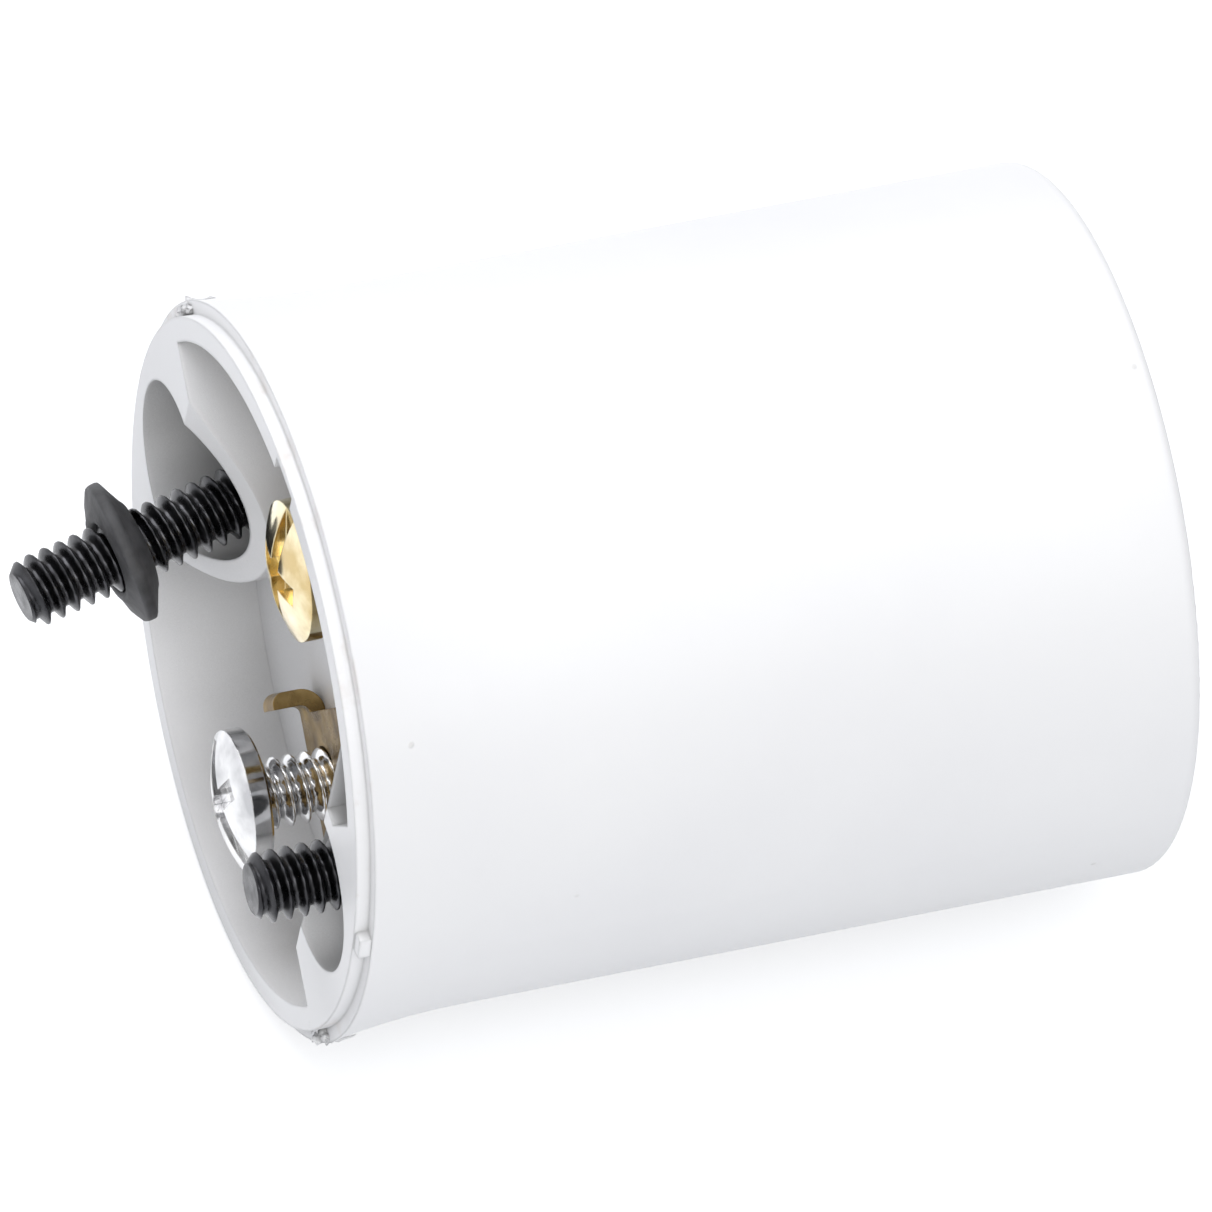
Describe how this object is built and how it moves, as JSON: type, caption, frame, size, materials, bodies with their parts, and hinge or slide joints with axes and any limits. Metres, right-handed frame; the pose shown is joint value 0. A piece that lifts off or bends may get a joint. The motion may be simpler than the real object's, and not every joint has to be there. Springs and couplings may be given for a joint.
{
  "type": "lamp holder",
  "caption": "Round keyless lamp holder with a medium screw shell in its mouth, a rear wiring recess with two screw terminals, and two captive mounting screws.",
  "frame": {"origin": "centre of the mouth rim, on the surface that the holder stands on", "axes": "+Z along the holder's axis towards the wiring end, +X towards the lower mounting screw"},
  "size_m": [0.0362, 0.0362, 0.0513],
  "materials": {
    "body_moulding": "satin moulded urea",
    "shell_metal": "bright rolled sheet",
    "contact_brass": "spring sheet",
    "plate_brass": "dull sheet",
    "eyelet_brass": "drawn",
    "screw_brass": "bright",
    "screw_nickel": "bright nickel plate",
    "screw_black": "black oxide",
    "washer_dark": "matt"
  },
  "bodies": {
    "holder": {"socket_body": "body_moulding", "screw_shell": "shell_metal", "centre_contact": "contact_brass", "live_terminal_plate": "plate_brass", "neutral_terminal_plate": "plate_brass", "contact_eyelet": "eyelet_brass", "shell_eyelet": "eyelet_brass"},
    "brass_screw": {"brass_terminal_screw": "screw_brass"},
    "nickel_screw": {"nickel_terminal_screw": "screw_nickel"},
    "lower_retainer": {"lower_retaining_washer": "washer_dark"},
    "lower_screw": {"lower_mounting_screw": "screw_black"},
    "upper_retainer": {"upper_retaining_washer": "washer_dark"},
    "upper_screw": {"upper_mounting_screw": "screw_black"}
  },
  "joints": [
    {"name": "brass_screw_travel", "type": "slide", "parent": "holder", "child": "brass_screw", "axis": [0, 0, -1], "range_m": [-0.0011, 0.0021]},
    {"name": "nickel_screw_travel", "type": "slide", "parent": "holder", "child": "nickel_screw", "axis": [0, 0, -1], "range_m": [0, 0.0037]},
    {"name": "lower_screw_travel", "type": "slide", "parent": "holder", "child": "lower_retainer", "axis": [0, 0, 1], "range_m": [-0.0003, 0.0064]},
    {"name": "lower_screw_turn", "type": "hinge", "parent": "lower_retainer", "child": "lower_screw", "pos_m": [0.0118, 0, 0.04025], "axis": [0, 0, 1], "continuous": true},
    {"name": "upper_screw_travel", "type": "slide", "parent": "holder", "child": "upper_retainer", "axis": [-0.185, 0.1315, -0.9739], "range_m": [0, 0.0024]},
    {"name": "upper_screw_turn", "type": "hinge", "parent": "upper_retainer", "child": "upper_screw", "pos_m": [-0.00914, -0.00189, 0.04568], "axis": [0.185, -0.1315, 0.9739], "continuous": true}
  ]
}
